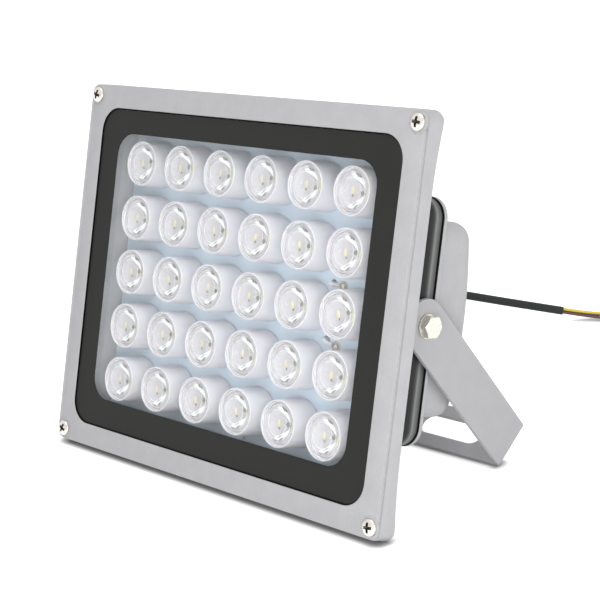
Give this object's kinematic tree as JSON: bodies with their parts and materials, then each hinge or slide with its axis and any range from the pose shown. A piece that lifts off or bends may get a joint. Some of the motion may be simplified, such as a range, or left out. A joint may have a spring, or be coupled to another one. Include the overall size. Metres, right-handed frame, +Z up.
{
  "type": "led floodlight",
  "caption": "Rectangular floodlight with rows of narrow-beam lenses behind a dark-bordered glass, a cast housing with a rear driver box, and a slotted U bracket that lets the head tilt.",
  "frame": {"origin": "on the floor under the middle of the light's footprint, cable left out", "axes": "+X to the right seen from the front, -Y the way the light shines, +Z up"},
  "size_m": [0.2172, 0.2877, 0.1652],
  "materials": {
    "grey_casting": "silver-grey fine-textured paint on die-cast aluminium",
    "grey_strip": "silver-grey fine-textured paint on steel strip",
    "window_glass": "clear toughened glass",
    "printed_border": "charcoal border printed on the front of the glass",
    "black_rubber": "smooth black rubber",
    "board": "aluminium circuit board with pale blue-white coating",
    "holder_plastic": "white moulded plastic with a slight lilac cast",
    "clear_lens": "clear polished moulded lens",
    "led_chip": "yellow phosphor under a clear dome",
    "solder": "bright solder",
    "white_wire": "white wire insulation",
    "nickel_screw": "nickel-plated steel",
    "nickel_bolt": "nickel-plated steel",
    "driver_case": "potted aluminium case",
    "black_nylon": "black nylon",
    "cable_sheath": "dark grey soft plastic sheath",
    "core_yellow_green": "yellow insulation with a green stripe",
    "core_brown": "brown insulation",
    "core_blue": "blue insulation",
    "copper_strand": "tinned copper strand"
  },
  "bodies": {
    "head": {"front_frame": "grey_casting", "glass_gasket": "black_rubber", "glass_pane": "window_glass", "border_print": "printed_border", "lamp_body": "grey_casting", "led_board": "board", "lenses": "clear_lens", "led_chips": "led_chip", "solder_joints": "solder", "led_leads": "white_wire", "frame_screws": "nickel_screw", "board_screws": "nickel_screw", "driver_seal": "black_rubber", "driver_cover": "grey_casting", "cover_screws": "nickel_screw", "driver": "driver_case", "driver_screws": "nickel_screw", "gland_body": "black_nylon", "gland_cap": "black_nylon", "gland_seal": "black_rubber", "inner_cable": "cable_sheath", "pivot_bolt_right": "nickel_bolt", "pivot_bolt_left": "nickel_bolt", "pivot_washer_right": "nickel_bolt", "pivot_washer_left": "nickel_bolt", "power_cable": "cable_sheath", "core_yellow_green": "core_yellow_green", "core_brown": "core_brown", "core_blue": "core_blue", "core_ends": "copper_strand", "lens_holder_1_1": "holder_plastic", "lens_holder_1_2": "holder_plastic", "lens_holder_1_3": "holder_plastic", "lens_holder_1_4": "holder_plastic", "lens_holder_1_5": "holder_plastic", "lens_holder_1_6": "holder_plastic", "lens_holder_2_1": "holder_plastic", "lens_holder_2_2": "holder_plastic", "lens_holder_2_3": "holder_plastic", "lens_holder_2_4": "holder_plastic", "lens_holder_2_5": "holder_plastic", "lens_holder_2_6": "holder_plastic", "lens_holder_3_1": "holder_plastic", "lens_holder_3_2": "holder_plastic", "lens_holder_3_3": "holder_plastic", "lens_holder_3_4": "holder_plastic", "lens_holder_3_5": "holder_plastic", "lens_holder_3_6": "holder_plastic", "lens_holder_4_1": "holder_plastic", "lens_holder_4_2": "holder_plastic", "lens_holder_4_3": "holder_plastic", "lens_holder_4_4": "holder_plastic", "lens_holder_4_5": "holder_plastic", "lens_holder_4_6": "holder_plastic", "lens_holder_5_1": "holder_plastic", "lens_holder_5_2": "holder_plastic", "lens_holder_5_3": "holder_plastic", "lens_holder_5_4": "holder_plastic", "lens_holder_5_5": "holder_plastic", "lens_holder_5_6": "holder_plastic"},
    "bracket": {"bracket": "grey_strip"}
  },
  "joints": [
    {"name": "bracket_tilt", "type": "hinge", "parent": "head", "child": "bracket", "pos_m": [0, -0.00291, 0.07635], "axis": [1, 0, 0], "range_deg": [-52, 24]}
  ]
}
